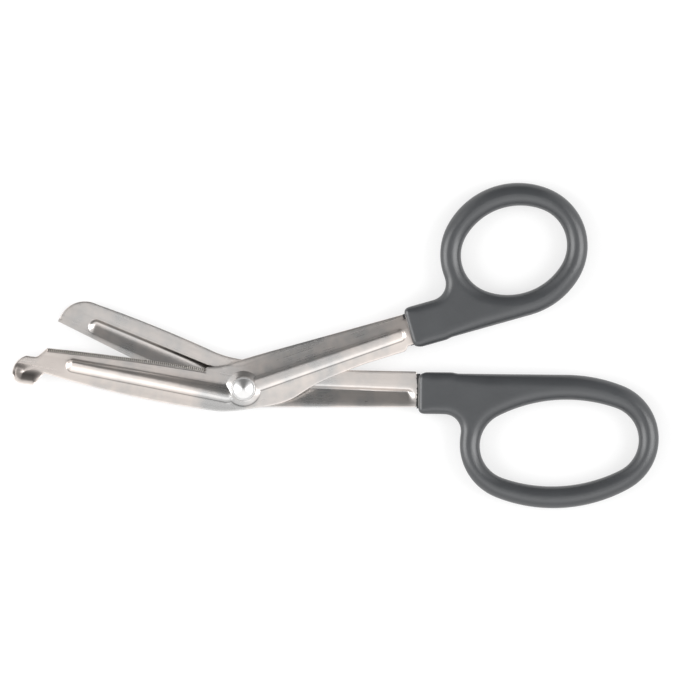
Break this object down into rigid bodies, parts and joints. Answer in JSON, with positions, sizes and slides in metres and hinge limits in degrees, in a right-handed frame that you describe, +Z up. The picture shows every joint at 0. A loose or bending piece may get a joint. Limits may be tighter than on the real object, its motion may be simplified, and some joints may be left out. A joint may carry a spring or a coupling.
{
  "type": "bandage scissors",
  "caption": "Angled safety scissors for cutting bandages and cloth: serrated blade with a curled blunt foot, plain blade, rivet pivot and moulded loop handles.",
  "frame": {"origin": "bottom centre of the box round the scissors as they lie on a table, opened as in the picture", "axes": "+X from the blades to the handles, +Y towards the thumb loop, +Z up from the table, along the pivot"},
  "size_m": [0.1876, 0.0944, 0.008],
  "materials": {
    "serrated_blade": "satin stamped stainless steel",
    "plain_blade": "satin stamped stainless steel",
    "pivot_rivet": "bright turned steel",
    "thumb_handle": "satin moulded plastic",
    "finger_handle": "satin moulded plastic"
  },
  "bodies": {
    "plain_arm": {"plain_blade": "plain_blade", "finger_handle": "finger_handle", "pivot_rivet": "pivot_rivet"},
    "serrated_arm": {"serrated_blade": "serrated_blade", "thumb_handle": "thumb_handle"}
  },
  "joints": [
    {"name": "pivot", "type": "hinge", "parent": "plain_arm", "child": "serrated_arm", "pos_m": [-0.02671, -0.01253, 0.004], "axis": [0, 0, 1], "range_deg": [-7.8, 55]}
  ]
}
